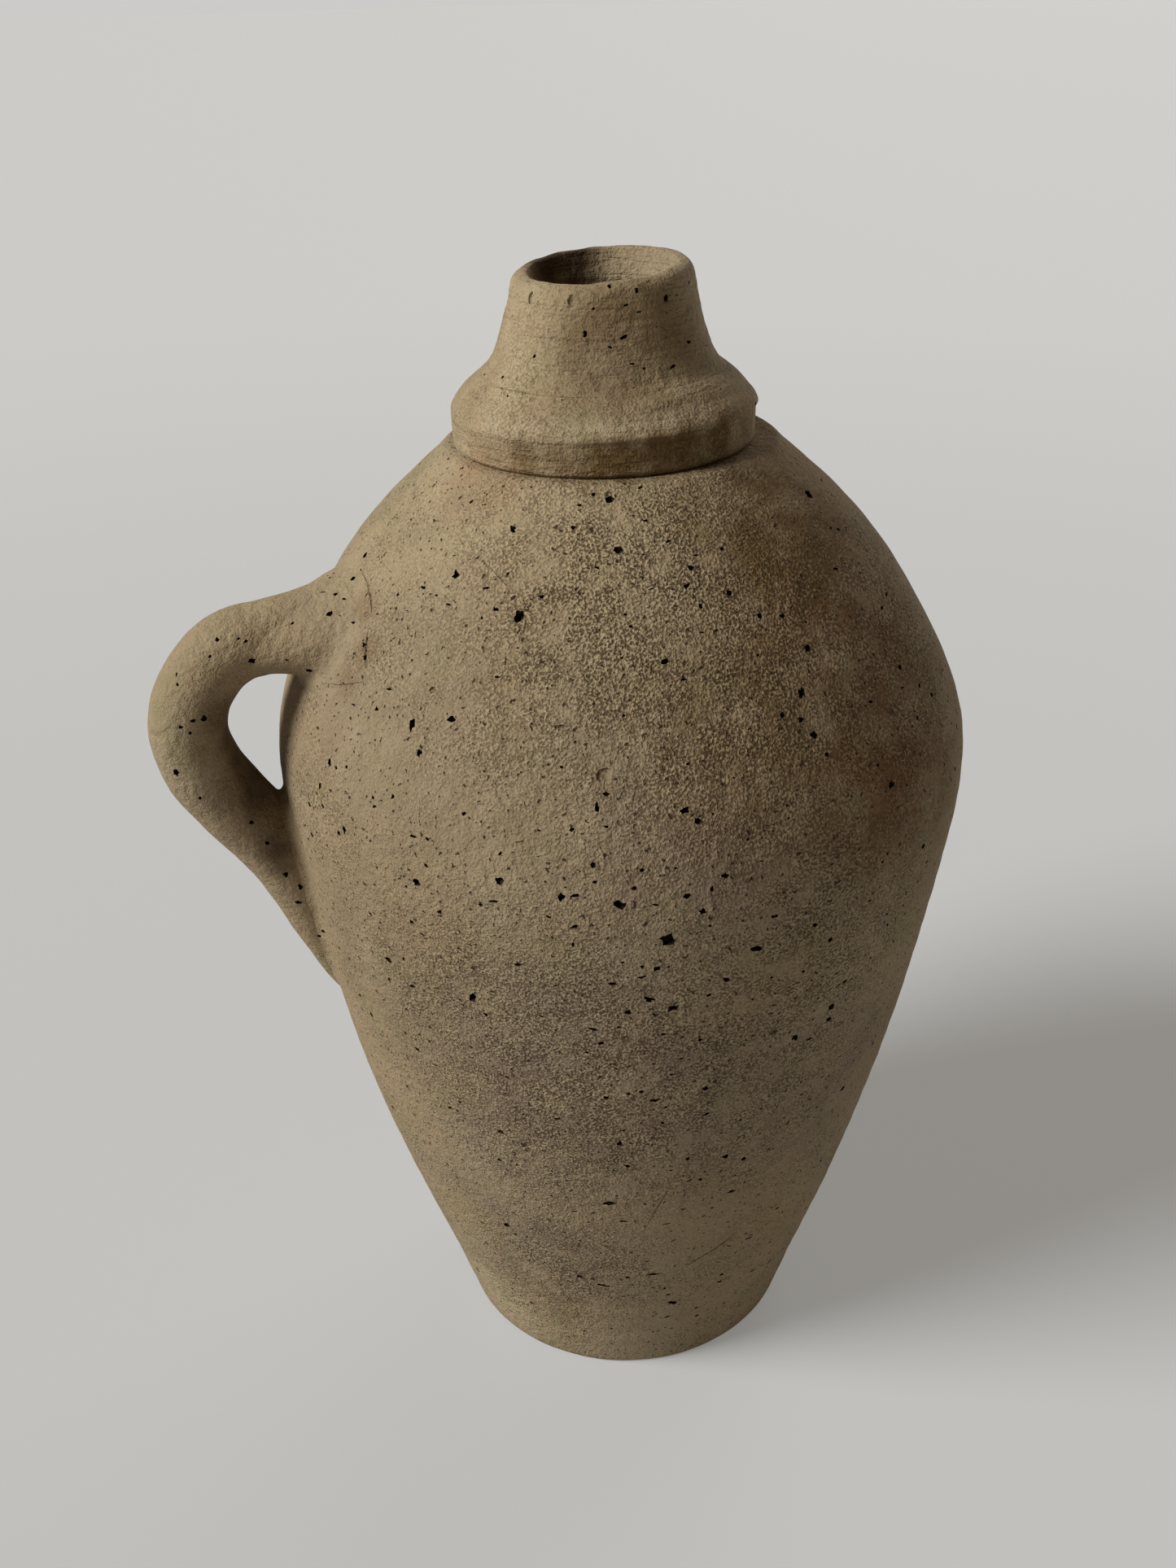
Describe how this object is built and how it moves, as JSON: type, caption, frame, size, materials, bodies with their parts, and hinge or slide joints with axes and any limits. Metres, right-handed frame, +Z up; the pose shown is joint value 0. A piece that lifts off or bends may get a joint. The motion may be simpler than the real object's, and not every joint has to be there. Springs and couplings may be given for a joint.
{
  "type": "one-handled clay jug",
  "caption": "Unglazed clay jug with a small flat foot, wide high belly, flanged collar, short thick-lipped neck and a loop handle on the shoulder.",
  "frame": {"origin": "middle of the flat foot, on the surface the jug stands on", "axes": "+Z up through the mouth, the handle points along -X, +Y completes a right-handed frame"},
  "size_m": [0.2071, 0.1792, 0.3022],
  "materials": {
    "body_clay": "unglazed sandy fired clay, dull and pitted",
    "handle_clay": "unglazed fired clay, smoothed by hand",
    "lute_clay": "unglazed fired clay, smeared by finger",
    "base_clay": "unglazed fired clay, scraped flat"
  },
  "bodies": {
    "root": {"base_disc": "base_clay", "lower_wall": "body_clay", "upper_wall": "body_clay", "collar_ring": "body_clay", "neck": "body_clay", "lip_ring": "body_clay", "handle": "handle_clay", "upper_handle_lute": "lute_clay", "lower_handle_lute": "lute_clay"}
  },
  "joints": []
}
